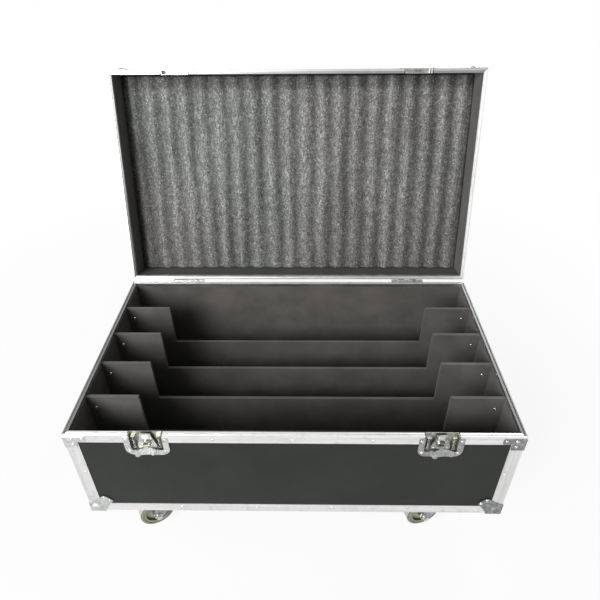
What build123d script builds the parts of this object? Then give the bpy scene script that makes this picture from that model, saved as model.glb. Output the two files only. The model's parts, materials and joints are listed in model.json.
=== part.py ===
"""Wheeled flight case: laminated boards in aluminium edging, divided load space, foam lined lid.

Millimetres. X runs along the case to the right, Y to the back, Z up. The origin is on the floor,
under the middle of the base box. The lid is drawn shut and written out open.
"""

from build123d import *
import os

os.makedirs("parts", exist_ok=True)

# The box
case_length = 1150
case_width = 672
base_height = 326
lid_depth = 112
caster_height = 130
lid_open_angle = 104
lid_gap = 0.4

# Boards, lining and edging
board = 9.5
skin = 1.5
lining = 2
edge_leg = 34
edge_round = 2
mitre_gap = 0.3
rim_leg = 29
rim_web = 4.2
rim_inner_leg = 12
rim_round = 1
groove_inset = 3.5
groove_width = 3.6
groove_depth = 2.7
tongue_clearance = 0.7
tongue_height = 2.2

# Ball corners and rim braces, all pressed from sheet
corner_sheet = 1.6
ear_neck = 40
ear_waist = (53.5, 24.3)
ear_end = (72, 47)
ear_round = 7
ball_radius = 24
ball_inset = 16
brace_sheet = 1.4
brace_drop = 8
brace_length = 56
brace_width = 19
brace_arm = 32
brace_reach = 49
brace_round = 3

# Dividers and their brackets
divider_count = 4
divider_board = 9.5
divider_drop = 9
notch_half_width = 418
notch_depth = 143
notch_round = 3
bracket_leg = 28
bracket_sheet = 1.2
bracket_height = 90
bracket_drop = 27

# Latches, measured from the case's front face and the joint
latch_x = 368.5
dish_sheet = 1.2
dish_height = 75
keeper_height = 48
flange_width = 113
flange_top = 8
flange_below_well = 18
flange_round = 23
well_half_width = 41
well_round = 6
well_taper = 5
well_clearance = 1.8
strap_height = 5
strap_drop = 1
strap_sheet = 1.6
shaft_drop = 35
shaft_radius = 4
shaft_gap = 0.05
slot_clearance = 0.4
hook_travel = 10
hook_in = 4.5
hook_sheet = 2
hook_half_outline = [(13.5, -2), (14.5, -12), (24, -42), (24, -54.5)]
hook_round = 4
hook_clearance = 0.6
lip_width = 27
lip_depth = 2.3
lip_drop = 2
cam_radius = 15
shaft_past_dish = 0.3
shaft_head = 0.8
cam_in = 8.2
boss_radius = 11
boss_out = 0.8
ear_x = 7.1
ear_sheet = 3
wing_axis_out = 4.1
wing_pin_radius = 1.5
knuckle_radius = 3
wing_sheet = 2.2
wing_root_drop = 6
wing_half_outline = [(12, -6), (26, -13), (11, -22)]
lobe_radius = 8
lobe_x = 20
lobe_drop = 18
latch_turn = -11
wing_lift = 60

# End handles, measured from the end board's outer face
handle_up = 160
handle_flange = (165, 98)
handle_well = (130, 76)
handle_depth = 8
handle_round = 10
handle_pivot_up = 28
lug_radius = 6.5
lug_inner = 55.5
lug_outer = 61.5
rod_radius = 3.5
rod_out = 0.5
rod_end = 62.5
bail_half_width = 46
bail_drop = 50
bail_bend = 8.5
grip_radius = 7.5
grip_end_radius = 6.5
grip_length = 72
grip_taper = 16

# Hinges, measured from the hinge line
hinge_x = 380
hinge_out = 6
hinge_length = 104
hinge_leaf = 60
hinge_sheet = 2
knuckle_count = 5
knuckle_gap = 0.4
barrel_radius = 5
barrel_notch = 8.2
pin_head_radius = 4
pin_head = 1.6
hinge_pin_radius = 2.5
hinge_pin_gap = 0.05

# Casters, measured from the floor
caster_x = 398
caster_inset = 68
caster_trail = 24
caster_turns = {"front_left": 30, "front_right": 17, "back_left": 24, "back_right": 35}
wheel_radius = 50
tyre_depth = 9
tyre_shoulder = [(46, 16), (48.7, 14.4), (50, 11.5)]
plate_size = (105, 85)
plate_sheet = 3
plate_round = 8
plate_holes = (80, 60)
plate_hole_radius = 4.3
race_radius = 28
race_low = 119.6
race_bevel = 3
kingpin_radius = 6
kingpin_low = 101.6
kingpin_nut_low = 103
kingpin_nut_gap = 0.4
fork_top = 119.2
fork_under = 112
fork_sheet = 3
fork_inside = 25.5
fork_end_radius = 13
fork_crown = (-28, 24)
fork_skirt_z = 72
fork_bend = 6
axle_radius = 5
axle_tip = 9
washer_sheet = 1.6
nut_height = 6
nut_ratio = 1.7
hub_radius = 13
hub_half_width = 24.7
web_half_width = 6
wheel_rim_inside = 35
wheel_rim_half_width = 14
wheel_draft = 2

# Lid foam
foam_thickness = 20
foam_inset = 4
foam_ribs = 20
rib_height = 4

# Worked out from the sizes above
half_length = case_length / 2
half_width = case_width / 2
base_z = caster_height
rim_z = base_z + base_height
rim_width = skin + board + skin
board_z = base_z + skin + board
floor_z = board_z + lining
wall_inset = skin + board
inner_x = half_length - wall_inset - lining
inner_y = half_width - wall_inset - lining
lid_z = rim_z + lid_gap
lid_top_z = rim_z + lid_depth
ceiling_z = lid_top_z - wall_inset
well_low = dish_height - flange_below_well
keeper_well = keeper_height - flange_below_well
hinge_line = Axis((0, half_width + hinge_out, rim_z), (1, 0, 0))
LOW = (Align.CENTER, Align.CENTER, Align.MIN)
CORNER = (Align.MIN, Align.MIN, Align.MIN)
STRAP = (Align.CENTER, Align.MIN, Align.MIN)
# Planes that look into the case, with Z as their second direction
INTO_FRONT = Plane((0, 0, 0), x_dir=(-1, 0, 0), z_dir=(0, 1, 0))
INTO_END = Plane((0, 0, 0), x_dir=(0, -1, 0), z_dir=(-1, 0, 0))


def write(piece, label):
    """Labels a finished sub-part and writes its file."""
    piece.part.label = label
    export_step(piece.part, f"parts/{label}.step")


def write_on_lid(piece, label):
    """Does the same for a sub-part of the lid, turned open about the hinge line."""
    piece.part = piece.part.rotate(hinge_line, -lid_open_angle)
    write(piece, label)


def placed(shape, *places):
    """One sub-part with a copy of a shape at each place."""
    with BuildPart() as group:
        for place in places:
            add(place * shape)
    return group


def ring_wall(low, high, outer, inner, mode=Mode.ADD):
    """A rectangular ring between two heights and two insets from the case's outline."""
    with BuildSketch(Plane.XY.offset(low)) as ring:
        Rectangle(case_length - 2 * outer, case_width - 2 * outer)
        Rectangle(case_length - 2 * inner, case_width - 2 * inner, mode=Mode.SUBTRACT)
    extrude(ring.sketch, amount=high - low, mode=mode)


def cut_mitres():
    """Parts a ring about Z = 0 into its four sides."""
    for x, y, turn in ((1, 1, 45), (-1, -1, 45), (1, -1, -45), (-1, 1, -45)):
        with Locations(Location((x * half_length, y * half_width, 0), (0, 0, turn))):
            Box(4 * edge_leg, mitre_gap, 4 * edge_leg, mode=Mode.SUBTRACT)


def cut_latch_gaps(half_gap, low, high):
    """Cuts the front wall away between two heights where the latches sit."""
    for x in (-latch_x, latch_x):
        with Locations((x, -half_width, low)):
            Box(2 * half_gap, 4 * rim_width, high - low, align=LOW, mode=Mode.SUBTRACT)


# Boards


def wall_board(length, plane, low, high, opening=None):
    """An upright board, drawn on its outer face, with an opening cut by a function."""
    with BuildPart() as wall:
        with BuildSketch(plane):
            with Locations((0, (low + high) / 2)):
                Rectangle(length, high - low)
            if opening:
                opening()
        extrude(amount=-board)
    return wall


def latch_notches(low, high):
    """The two notches for latch dishes or keepers in a front board."""
    for x in (-latch_x, latch_x):
        with Locations((x, (low + high) / 2)):
            Rectangle(2 * (well_half_width + dish_sheet + well_clearance), high - low, mode=Mode.SUBTRACT)


def handle_hole():
    """The hole for a handle dish in an end board."""
    with Locations((0, base_z + handle_up)):
        hole = [size + 2 * dish_sheet + 2 * well_clearance for size in handle_well]
        RectangleRounded(*hole, handle_round, mode=Mode.SUBTRACT)


FRONT = Plane.XZ.offset(half_width - skin)
BACK = Plane.XZ.offset(-(half_width - skin - board))
RIGHT = Plane.YZ.offset(half_length - skin)
LEFT = Plane.YZ.offset(-(half_length - skin - board))
long_board = case_length - 2 * skin
short_board = case_width - 2 * wall_inset
base_walls = (board_z, rim_z - rim_web)
lid_walls = (lid_z + rim_web, ceiling_z)

with BuildPart() as base_bottom_panel:
    with Locations((0, 0, base_z + skin)):
        Box(long_board, case_width - 2 * skin, board, align=LOW)
write(base_bottom_panel, "base_bottom_panel")

well_notch = rim_z - well_low - dish_sheet - well_clearance
write(
    wall_board(long_board, FRONT, *base_walls, lambda: latch_notches(well_notch, lid_z)),
    "base_front_panel",
)
write(wall_board(long_board, BACK, *base_walls), "base_back_panel")
write(wall_board(short_board, LEFT, *base_walls, handle_hole), "base_left_panel")
write(wall_board(short_board, RIGHT, *base_walls, handle_hole), "base_right_panel")

with BuildPart() as lid_top_panel:
    with Locations((0, 0, ceiling_z)):
        Box(long_board, case_width - 2 * skin, board, align=LOW)
write_on_lid(lid_top_panel, "lid_top_panel")

keeper_notch = lid_z + keeper_well + dish_sheet + well_clearance
write_on_lid(
    wall_board(long_board, FRONT, *lid_walls, lambda: latch_notches(lid_z, keeper_notch)),
    "lid_front_panel",
)
write_on_lid(wall_board(long_board, BACK, *lid_walls), "lid_back_panel")
write_on_lid(wall_board(short_board, LEFT, *lid_walls), "lid_left_panel")
write_on_lid(wall_board(short_board, RIGHT, *lid_walls), "lid_right_panel")


# Aluminium edging


def rim_extrusions(tongue):
    """The channel sections round the joint, with a groove or a tongue, drawn downwards from Z = 0."""
    with BuildPart() as rim:
        ring_wall(-rim_leg, 0, 0, skin)
        ring_wall(-rim_web, 0, 0, rim_width)
        ring_wall(-rim_inner_leg, 0, wall_inset, rim_width)
        fillet(rim.faces().sort_by(Axis.Z)[-1].outer_wire().edges(), radius=rim_round)
        if tongue:
            start = groove_inset + tongue_clearance
            ring_wall(0, tongue_height, start, start + groove_width - 2 * tongue_clearance)
        else:
            ring_wall(-groove_depth, 0, groove_inset, groove_inset + groove_width, Mode.SUBTRACT)
        cut_mitres()
        cut_latch_gaps(well_half_width + dish_sheet + skin, -edge_leg, edge_leg)
    return rim


def edge_angles(height):
    """Angles along the four edges at Z = 0 and up the four corners from there."""
    with BuildPart() as angles:
        ring_wall(0, skin, 0, edge_leg)
        ring_wall(0, edge_leg, 0, skin)
        fillet(angles.faces().sort_by(Axis.Z)[0].outer_wire().edges(), radius=edge_round)
        cut_mitres()
        with BuildSketch(Plane.XY.offset(edge_leg + mitre_gap)):
            RectangleRounded(case_length, case_width, edge_round)
            Rectangle(case_length - 2 * skin, case_width - 2 * skin, mode=Mode.SUBTRACT)
            Rectangle(case_length - 2 * edge_leg, 2 * case_width, mode=Mode.SUBTRACT)
            Rectangle(2 * case_length, case_width - 2 * edge_leg, mode=Mode.SUBTRACT)
        extrude(amount=height - edge_leg - mitre_gap)
    return angles


base_rim = rim_extrusions(tongue=False).part
lid_rim = rim_extrusions(tongue=True).part.mirror(Plane.XY)
write(placed(base_rim, Pos(0, 0, rim_z)), "base_rim_profiles")
write_on_lid(placed(lid_rim, Pos(0, 0, lid_z)), "lid_rim_profiles")

base_edges = edge_angles(base_height - rim_leg - mitre_gap).part
lid_edges = edge_angles(lid_depth - lid_gap - rim_leg - mitre_gap).part.mirror(Plane.XY)
write(placed(base_edges, Pos(0, 0, base_z)), "base_edge_angles")
write_on_lid(placed(lid_edges, Pos(0, 0, lid_top_z)), "lid_edge_angles")


# Pressed corners


def ball_corner():
    """Three waisted ears and a ball on the corner of a box that fills the positive directions."""
    low = (ear_neck, -corner_sheet)
    left = (-corner_sheet, ear_neck)
    with BuildPart() as corner:
        for face in (Plane.XY, Plane.YZ, Plane.ZX):
            with BuildSketch(face) as ear:
                with BuildLine():
                    ThreePointArc(low, ear_waist, ear_end)
                    Line(ear_end, ear_end[::-1])
                    ThreePointArc(ear_end[::-1], ear_waist[::-1], left)
                    Polyline(left, (-corner_sheet, -corner_sheet), low)
                make_face()
                fillet(ear.vertices().filter_by(lambda v: min(v.X, v.Y) > 0), radius=ear_round)
            extrude(amount=-corner_sheet)
        with Locations((ball_inset, ball_inset, ball_inset)):
            Sphere(ball_radius)
        Box(4 * ball_radius, 4 * ball_radius, 4 * ball_radius, align=CORNER, mode=Mode.SUBTRACT)
    return corner


def rim_brace():
    """A flat brace wrapped round an upright edge, drawn downwards from the joint at Z = 0."""
    low_z = -brace_drop - brace_width
    outline = [
        (-brace_sheet, -brace_drop),
        (brace_length, -brace_drop),
        (brace_length, low_z),
        (brace_arm, low_z),
        (brace_arm, -brace_reach),
        (-brace_sheet, -brace_reach),
    ]
    with BuildPart() as brace:
        for face, side in ((Plane.XZ, 1), (Plane.YZ, -1)):
            with BuildSketch(face) as leg:
                with BuildLine():
                    Polyline(*outline, close=True)
                make_face()
                fillet(leg.vertices().filter_by(lambda v: v.X > 0), radius=brace_round)
            extrude(amount=side * brace_sheet)
    return brace


def at_corners(shape, z):
    """A shape drawn for the front left corner, and its reflections at the other three."""
    with BuildPart() as group:
        add(Pos(-half_length, -half_width, z) * shape)
        mirror(about=Plane.YZ)
        mirror(about=Plane.XZ)
    return group


corner = ball_corner().part
brace = rim_brace().part
write(at_corners(corner, base_z), "base_ball_corners")
write(at_corners(brace, rim_z), "base_rim_braces")
write_on_lid(at_corners(corner.mirror(Plane.XY), lid_top_z), "lid_ball_corners")
write_on_lid(at_corners(brace.mirror(Plane.XY), lid_z), "lid_rim_braces")


# Lining and dividers

with BuildPart() as base_lining:
    ring_wall(board_z, rim_z - rim_inner_leg, wall_inset, wall_inset + lining)
    with Locations((0, 0, board_z)):
        Box(2 * inner_x, 2 * inner_y, lining, align=LOW)
    cut_latch_gaps(well_half_width + dish_sheet + skin, well_notch, rim_z)
write(base_lining, "base_lining")

with BuildPart() as lid_lining:
    ring_wall(lid_z + rim_inner_leg, ceiling_z, wall_inset, wall_inset + lining)
    cut_latch_gaps(well_half_width + dish_sheet + skin, lid_z, keeper_notch)
write_on_lid(lid_lining, "lid_lining")

divider_top = rim_z - divider_drop
bay = (2 * inner_y - divider_count * divider_board) / (divider_count + 1)
divider_fronts = [-inner_y + bay + n * (bay + divider_board) for n in range(divider_count)]
for number, front_y in enumerate(divider_fronts, 1):
    with BuildPart() as divider:
        with BuildSketch(Plane.XZ.offset(-front_y)):
            with Locations((0, (floor_z + divider_top) / 2)):
                Rectangle(2 * inner_x, divider_top - floor_z)
            with Locations((0, divider_top)):
                Rectangle(2 * notch_half_width, 2 * notch_depth, mode=Mode.SUBTRACT)
        extrude(amount=-divider_board)
        ends = divider.edges().filter_by(Axis.Y).group_by(Axis.Z)[-1]
        fillet(ends.sort_by(Axis.X)[1:3], radius=notch_round)
    write(divider, f"divider_{number}")

with BuildPart() as divider_brackets:
    for front_y in divider_fronts:
        for side in (-1, 1):
            wall_align = Align.MIN if side < 0 else Align.MAX
            foot = (side * inner_x, front_y + divider_board, divider_top - bracket_drop)
            with Locations(foot):
                Box(bracket_leg, bracket_sheet, bracket_height, align=(wall_align, Align.MIN, Align.MAX))
                Box(bracket_sheet, bracket_leg, bracket_height, align=(wall_align, Align.MIN, Align.MAX))
write(divider_brackets, "divider_brackets")

foam_x = inner_x - foam_inset
foam_y = inner_y - foam_inset
rib_z = ceiling_z - foam_thickness
rib_pitch = 2 * foam_x / foam_ribs
with BuildPart() as lid_foam_pad:
    with BuildSketch(Plane.XZ.offset(foam_y)):
        with BuildLine():
            Polyline((-foam_x, rib_z), (-foam_x, ceiling_z), (foam_x, ceiling_z), (foam_x, rib_z))
            for rib in range(foam_ribs):
                left = -foam_x + rib * rib_pitch
                crown = (left + rib_pitch / 2, rib_z - rib_height)
                ThreePointArc((left, rib_z), crown, (left + rib_pitch, rib_z))
        make_face()
    extrude(amount=-2 * foam_y)
write_on_lid(lid_foam_pad, "lid_foam_pad")


# Latches


def pressed_dish(height):
    """A pressed dish that is open at the joint, Z = 0, with its flange on the front face, Y = 0."""
    well_bottom = height - flange_below_well
    corner_round = min(flange_round, height - rim_leg - mitre_gap - mitre_gap)
    with BuildPart() as dish:
        # The flange laps over the rim, and below the rim it reaches back to the board
        lap = (-dish_sheet, flange_top, dish_sheet)
        below_rim = (0, rim_leg + mitre_gap, skin)
        for front_y, top, depth in (lap, below_rim):
            with BuildSketch(Plane.XZ.offset(-front_y)) as flange:
                with Locations((0, -(top + height) / 2)):
                    Rectangle(flange_width, height - top)
                fillet(flange.vertices().group_by(Axis.Y)[0], radius=corner_round)
            extrude(amount=-depth)
        with BuildSketch(INTO_FRONT) as outside:
            Rectangle(2 * (well_half_width + dish_sheet), 2 * (well_bottom + dish_sheet))
            fillet(outside.vertices(), radius=well_round + dish_sheet)
        extrude(amount=rim_width + dish_sheet, taper=well_taper)
        with BuildSketch(INTO_FRONT.offset(-dish_sheet)) as inside:
            Rectangle(2 * well_half_width, 2 * well_bottom)
            fillet(inside.vertices(), radius=well_round)
        extrude(amount=rim_width + dish_sheet, taper=well_taper, mode=Mode.SUBTRACT)
        Box(case_width, case_width, case_width, align=LOW, mode=Mode.SUBTRACT)
    return dish


def latch_dish():
    """The base half of a latch, with the bore of its rotor shaft."""
    with BuildPart() as dish:
        add(pressed_dish(dish_height).part)
        with BuildSketch(INTO_FRONT):
            with Locations((0, -shaft_drop)):
                Circle(shaft_radius + shaft_gap)
        extrude(amount=2 * rim_width, mode=Mode.SUBTRACT)
    return dish


def keeper_dish():
    """The lid half of a latch, with the strap that the hook lifts behind, drawn downwards."""
    with BuildPart() as dish:
        add(pressed_dish(keeper_height).part)
        with Locations((0, 0, -strap_height - strap_drop)):
            Box(2 * well_half_width + dish_sheet, strap_sheet, strap_height, align=STRAP)
    return dish


def latch_hook():
    """The hook plate, with a folded lip and a slot for the rotor shaft."""
    other_half = [(-x, z) for x, z in reversed(hook_half_outline)]
    with BuildPart() as hook:
        with BuildSketch(INTO_FRONT.offset(hook_in)) as plate:
            with BuildLine():
                Polyline(*hook_half_outline, *other_half, close=True)
            make_face()
            fillet(plate.vertices().group_by(Axis.Y)[0], radius=hook_round)
            with Locations((0, -shaft_drop - hook_travel / 2)):
                slot_width = 2 * (shaft_radius + slot_clearance)
                SlotCenterToCenter(hook_travel, slot_width, rotation=90, mode=Mode.SUBTRACT)
        extrude(amount=hook_sheet)
        with Locations((0, hook_in, -lip_drop)):
            Box(lip_width, lip_depth, hook_sheet, align=(Align.CENTER, Align.MAX, Align.MAX))
    return hook


def latch_rotor():
    """Cam, shaft, boss and two ears with the wing's pin, drawn about the shaft's line, Y."""
    shaft_end = rim_width + dish_sheet + shaft_past_dish
    with BuildPart() as rotor:
        for start, end, radius in (
            (-boss_out, shaft_end, shaft_radius),
            (-boss_out, hook_in - hook_clearance, boss_radius),
            (cam_in, cam_in + hook_sheet, cam_radius),
            (shaft_end, shaft_end + shaft_head, 1.5 * shaft_radius),
        ):
            with BuildSketch(INTO_FRONT.offset(start)):
                Circle(radius)
            extrude(amount=end - start)
        for side in (-1, 1):
            with BuildSketch(Plane.YZ.offset(side * ear_x)):
                with Locations((-wing_axis_out, 0)):
                    Circle(shaft_radius)
                with Locations((-boss_out, 0)):
                    ear_reach = wing_axis_out - boss_out
                    Rectangle(ear_reach, 2 * shaft_radius, align=(Align.MAX, Align.CENTER))
            extrude(amount=side * ear_sheet)
        with BuildSketch(Plane.YZ.offset(-ear_x)):
            with Locations((-wing_axis_out, 0)):
                Circle(wing_pin_radius)
        extrude(amount=2 * ear_x)
    return rotor


def latch_wing():
    """The folding butterfly wing, drawn flat and hanging, about its pin along X through the origin."""
    other_half = [(-x, z) for x, z in reversed(wing_half_outline)]
    with BuildPart() as wing:
        with BuildSketch(INTO_FRONT.offset(-wing_sheet / 2)):
            with Locations((0, -wing_root_drop / 2)):
                Rectangle(2 * (ear_x - knuckle_gap), wing_root_drop)
            with BuildLine():
                Polyline(*wing_half_outline, *other_half, close=True)
            make_face()
            with Locations((-lobe_x, -lobe_drop), (lobe_x, -lobe_drop)):
                Circle(lobe_radius)
        extrude(amount=wing_sheet)
        chamfer(wing.faces().sort_by(Axis.Y)[0].outer_wire().edges(), length=wing_sheet / 4)
        Cylinder(knuckle_radius, 2 * (ear_x - knuckle_gap), rotation=(0, 90, 0))
        Cylinder(wing_pin_radius + shaft_gap, 4 * ear_x, rotation=(0, 90, 0), mode=Mode.SUBTRACT)
    return wing


dish_places = [Pos(x, -half_width, rim_z) for x in (-latch_x, latch_x)]
write(placed(latch_dish().part, *dish_places), "latch_dishes")
keeper_places = [Pos(x, -half_width, lid_z) for x in (-latch_x, latch_x)]
write_on_lid(placed(keeper_dish().part.mirror(Plane.XY), *keeper_places), "lid_latch_keepers")

for side, x in (("left", -latch_x), ("right", latch_x)):
    joint_place = Pos(x, -half_width, rim_z)
    shaft_place = Pos(x, -half_width, rim_z - shaft_drop) * Rot(0, latch_turn, 0)
    wing_place = shaft_place * Pos(0, -wing_axis_out, 0) * Rot(-wing_lift, 0, 0)
    write(placed(latch_hook().part, joint_place), f"latch_hook_{side}")
    write(placed(latch_rotor().part, shaft_place), f"latch_rotor_{side}")
    write(placed(latch_wing().part, wing_place), f"latch_wing_{side}")


# End handles, drawn for the right end about the board's outer face, X = 0


def handle_dish():
    """A pressed dish with two lugs that carry the bail."""
    with BuildPart() as dish:
        with BuildSketch(Plane.YZ):
            RectangleRounded(*handle_flange, handle_round)
        extrude(amount=dish_sheet)
        with BuildSketch(INTO_END):
            RectangleRounded(*[size + 2 * dish_sheet for size in handle_well], handle_round)
        extrude(amount=handle_depth + dish_sheet, taper=well_taper)
        with BuildSketch(INTO_END.offset(-dish_sheet)):
            RectangleRounded(*handle_well, handle_round - dish_sheet)
        extrude(amount=handle_depth + dish_sheet, taper=well_taper, mode=Mode.SUBTRACT)
        for side in (-1, 1):
            with BuildSketch(Plane.XZ.offset(-side * lug_inner)):
                with Locations((rod_out, handle_pivot_up)):
                    Circle(lug_radius)
                    Rectangle(handle_depth + rod_out, 2 * lug_radius, align=(Align.MAX, Align.CENTER))
                    Circle(rod_radius + shaft_gap, mode=Mode.SUBTRACT)
            extrude(amount=-side * (lug_outer - lug_inner))
    return dish


def handle_bail():
    """A bent steel rod, from one lug down, across and up to the other."""
    low = handle_pivot_up - bail_drop
    route = [
        (-rod_end, handle_pivot_up),
        (-bail_half_width, handle_pivot_up),
        (-bail_half_width, low),
        (bail_half_width, low),
        (bail_half_width, handle_pivot_up),
        (rod_end, handle_pivot_up),
    ]
    with BuildPart() as bail:
        with BuildLine(Plane.YZ.offset(rod_out)) as path:
            FilletPolyline(*route, radius=bail_bend)
        with BuildSketch(Plane(path.line @ 0, z_dir=path.line % 0)):
            Circle(rod_radius)
        sweep()
    return bail


def handle_grip():
    """A rubber grip on the bail's cross part, drawn in towards both ends."""
    half_section = [
        (rod_radius, grip_length / 2),
        (grip_end_radius, grip_length / 2),
        (grip_radius, grip_length / 2 - grip_taper),
    ]
    other_half = [(r, -y) for r, y in reversed(half_section)]
    with BuildPart() as grip:
        with BuildSketch(Plane.XY):
            with BuildLine():
                Polyline(*half_section, *other_half, close=True)
            make_face()
        revolve(axis=Axis.Y)
    return placed(grip.part, Pos(rod_out, 0, handle_pivot_up - bail_drop))


handle_z = base_z + handle_up
dish = handle_dish().part
with BuildPart() as handle_dishes:
    add(Pos(half_length - skin, 0, handle_z) * dish)
    mirror(about=Plane.YZ)
write(handle_dishes, "handle_dishes")
for side, x in (("left", -1), ("right", 1)):
    place = Pos(x * (half_length - skin), 0, handle_z)
    for piece, label in ((handle_bail(), "handle_bail"), (handle_grip(), "handle_grip")):
        shape = piece.part if x > 0 else piece.part.mirror(Plane.YZ)
        write(placed(shape, place), f"{label}_{side}")


# Hinges, drawn about the hinge line, X, with the base leaf hanging


def hinge_leaf_with(own_knuckles):
    """A hinge leaf that keeps its own knuckles and makes room for the other leaf's."""
    pitch = hinge_length / knuckle_count
    with BuildPart() as leaf:
        with Locations((0, -hinge_out, 0)):
            Box(hinge_length, hinge_sheet, hinge_leaf, align=(Align.CENTER, Align.MIN, Align.MAX))
        fillet(leaf.edges().filter_by(Axis.Y).group_by(Axis.Z)[0], radius=hinge_out)
        # Below the rim the leaf reaches back to the board
        with Locations((0, -hinge_out, -rim_leg - lid_gap - mitre_gap)):
            step = hinge_leaf - rim_leg - 2 * hinge_out
            Box(hinge_length, skin, step, align=(Align.CENTER, Align.MAX, Align.MAX))
        for number in range(knuckle_count):
            centre_x = (number - (knuckle_count - 1) / 2) * pitch
            with Locations((centre_x, 0, 0)):
                if number in own_knuckles:
                    Cylinder(barrel_radius, pitch - knuckle_gap, rotation=(0, 90, 0))
                else:
                    Box(pitch + knuckle_gap, 4 * hinge_out, 2 * barrel_notch, mode=Mode.SUBTRACT)
        Cylinder(hinge_pin_radius + hinge_pin_gap, 2 * hinge_length, rotation=(0, 90, 0), mode=Mode.SUBTRACT)
    return leaf


def hinge_pin():
    """A pin with a flat head at each end."""
    with BuildPart() as pin:
        Cylinder(hinge_pin_radius, hinge_length + 2, rotation=(0, 90, 0))
        for side in (-1, 1):
            with Locations((side * (hinge_length + 2) / 2, 0, 0)):
                Cylinder(pin_head_radius, pin_head, rotation=(0, 90, 0))
    return pin


hinge_places = [Pos(x, half_width + hinge_out, rim_z) for x in (-hinge_x, hinge_x)]
write(placed(hinge_leaf_with((0, 2, 4)).part, *hinge_places), "hinge_base_leaves")
write(placed(hinge_pin().part, *hinge_places), "hinge_pins")
lid_leaf = hinge_leaf_with((1, 3)).part.mirror(Plane.XY)
write_on_lid(placed(lid_leaf, *hinge_places), "hinge_lid_leaves")


# Casters, drawn about the swivel line, Z, with the wheel trailing towards the left


def caster_plate():
    """Top plate with the upper raceway, the kingpin and its nut."""
    race = [
        (0, base_z),
        (race_radius, base_z),
        (race_radius, race_low + race_bevel),
        (race_radius - race_bevel, race_low),
        (kingpin_radius, race_low),
        (kingpin_radius, kingpin_low),
        (0, kingpin_low),
    ]
    with BuildPart() as plate:
        with BuildSketch(Plane.XY.offset(base_z - plate_sheet)):
            RectangleRounded(*plate_size, plate_round)
            with GridLocations(*plate_holes, 2, 2):
                Circle(plate_hole_radius, mode=Mode.SUBTRACT)
        extrude(amount=plate_sheet)
        with BuildSketch(Plane.XZ):
            with BuildLine():
                Polyline(*race, close=True)
            make_face()
        revolve(axis=Axis.Z)
        with BuildSketch(Plane.XY.offset(kingpin_nut_low)):
            RegularPolygon(nut_ratio * kingpin_radius, 6)
        extrude(amount=fork_under - kingpin_nut_gap - kingpin_nut_low)
    return plate


def caster_fork():
    """Lower raceway and two legs that taper to the axle."""
    top_z = fork_under + fork_sheet
    cup = [
        (kingpin_radius + 2 * shaft_gap, fork_top),
        (race_radius - race_bevel, fork_top),
        (race_radius, fork_top - race_bevel),
        (race_radius, fork_under),
        (kingpin_radius + 2 * shaft_gap, fork_under),
    ]
    with BuildPart() as fork:
        with BuildSketch(Plane.XZ):
            with BuildLine():
                Polyline(*cup, close=True)
            make_face()
        revolve(axis=Axis.Z)
        for side in (-1, 1):
            with BuildSketch(Plane.XZ.offset(side * fork_inside)):
                with BuildLine():
                    CenterArc((-caster_trail, wheel_radius), fork_end_radius, 0, 360)
                    Line((fork_crown[0], top_z), (fork_crown[1], top_z))
                    Line((fork_crown[1], top_z), (fork_crown[1], fork_skirt_z))
                make_hull()
                with Locations((-caster_trail, wheel_radius)):
                    Circle(axle_radius + shaft_gap, mode=Mode.SUBTRACT)
            extrude(amount=side * fork_sheet)
            crown_align = Align.MIN if side > 0 else Align.MAX
            with Locations((fork_crown[0], -side * (fork_inside + fork_sheet), fork_under)):
                crown_size = (fork_crown[1] - fork_crown[0], fork_sheet + fork_bend, fork_sheet)
                Box(*crown_size, align=(Align.MIN, crown_align, Align.MIN))
    return fork


def caster_axle():
    """Bolt with a head, a washer at each leg and a nut, about its own line, Y."""
    leg_face = fork_inside + fork_sheet
    with BuildPart() as axle:
        for start, end, radius in (
            (-leg_face, leg_face + axle_tip, axle_radius),
            (-leg_face - washer_sheet, -leg_face, 2 * axle_radius),
            (leg_face, leg_face + washer_sheet, 2 * axle_radius),
        ):
            with BuildSketch(INTO_FRONT.offset(start)):
                Circle(radius)
            extrude(amount=end - start)
        for start in (-leg_face - washer_sheet - nut_height, leg_face + washer_sheet):
            with BuildSketch(INTO_FRONT.offset(start)):
                RegularPolygon(nut_ratio * axle_radius, 6)
            extrude(amount=nut_height)
    return axle


def caster_wheel():
    """Wheel centre with a hub boss, a web and a rim, about its own line, Y."""
    half_section = [
        (axle_radius + 2 * shaft_gap, hub_half_width),
        (hub_radius, hub_half_width),
        (hub_radius + wheel_draft, web_half_width),
        (wheel_rim_inside - wheel_draft, web_half_width),
        (wheel_rim_inside, wheel_rim_half_width),
        (wheel_radius - tyre_depth, wheel_rim_half_width),
    ]
    other_half = [(r, -w) for r, w in reversed(half_section)]
    with BuildPart() as wheel:
        with BuildSketch(Plane.XY):
            with BuildLine():
                Polyline(*half_section, *other_half, close=True)
            make_face()
        revolve(axis=Axis.Y)
    return wheel


def caster_tyre():
    """Solid tyre with stepped shoulders, about its own line, Y."""
    half_section = [(wheel_radius - tyre_depth, tyre_shoulder[0][1]), *tyre_shoulder]
    other_half = [(r, -y) for r, y in reversed(half_section)]
    with BuildPart() as tyre:
        with BuildSketch(Plane.XY):
            with BuildLine():
                Polyline(*half_section, *other_half, close=True)
            make_face()
        revolve(axis=Axis.Y)
    return tyre


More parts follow.
